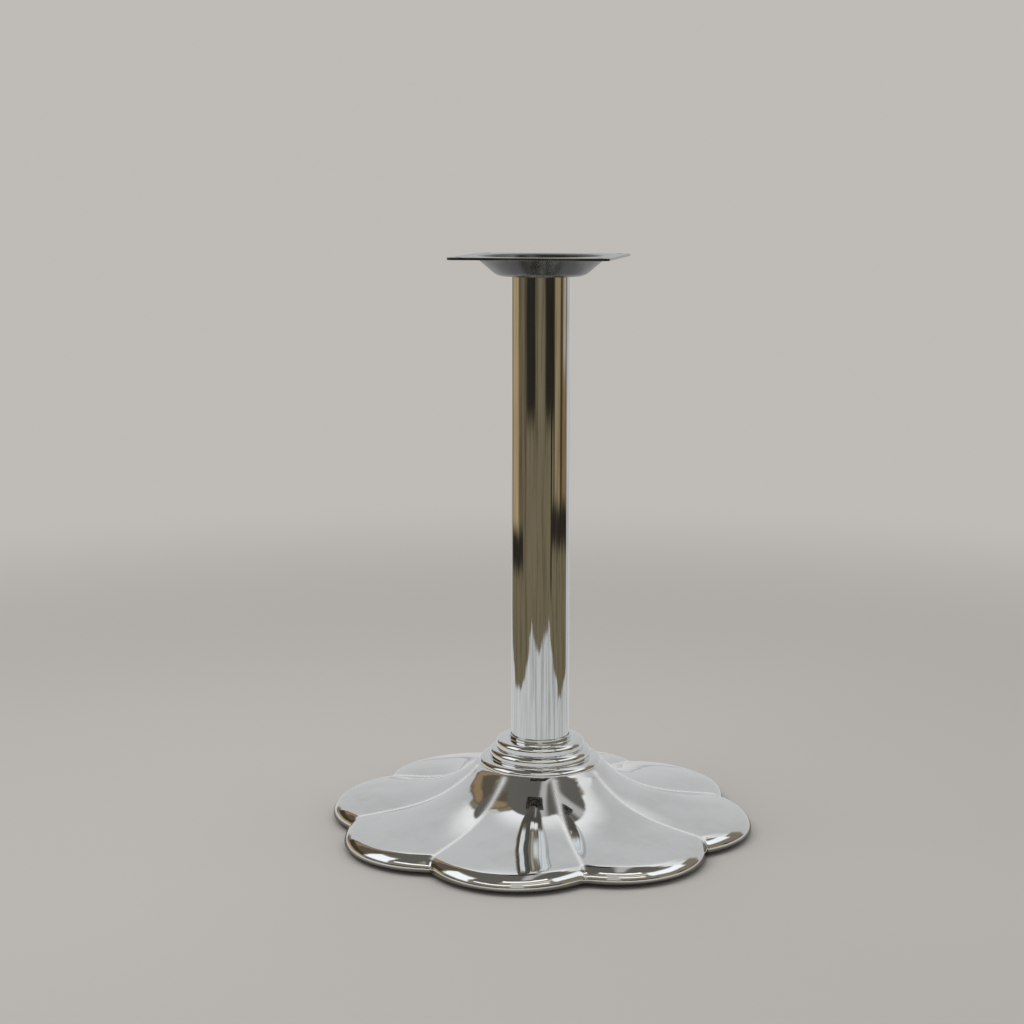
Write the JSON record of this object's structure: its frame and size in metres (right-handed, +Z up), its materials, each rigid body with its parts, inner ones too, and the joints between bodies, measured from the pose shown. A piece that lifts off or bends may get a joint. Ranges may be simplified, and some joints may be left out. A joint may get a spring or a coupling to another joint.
{
  "type": "table base",
  "caption": "Pedestal table base with a round column, a chromed petal-shaped cast foot with a stepped hub, and a square dished top plate with screw holes.",
  "frame": {"origin": "on the floor under the column's axis, midway between the levelling glides", "axes": "+Z up along the column; X and Y square to the top plate's sides and through the middles of four petals"},
  "size_m": [0.537, 0.537, 0.72],
  "materials": {
    "casting_chrome": "polished chrome plating over cast iron",
    "column_chrome": "polished chrome plating over steel tube",
    "plate_steel": "satin zinc plated sheet",
    "fastener_steel": "bright zinc plated",
    "glide_plastic": "moulded black plastic"
  },
  "bodies": {
    "root": {"base_casting": "casting_chrome", "column_tube": "column_chrome", "top_plate": "plate_steel", "tie_rod": "fastener_steel", "top_washer": "fastener_steel", "top_spring_washer": "fastener_steel", "top_nut": "fastener_steel", "bottom_washer": "fastener_steel", "bottom_spring_washer": "fastener_steel", "bottom_nut": "fastener_steel", "glide_pad_1": "glide_plastic", "glide_pad_2": "glide_plastic", "glide_pad_3": "glide_plastic", "glide_pad_4": "glide_plastic", "glide_stud_1": "fastener_steel", "glide_stud_2": "fastener_steel", "glide_stud_3": "fastener_steel", "glide_stud_4": "fastener_steel", "glide_nut_1": "fastener_steel", "glide_nut_2": "fastener_steel", "glide_nut_3": "fastener_steel", "glide_nut_4": "fastener_steel"}
  },
  "joints": []
}
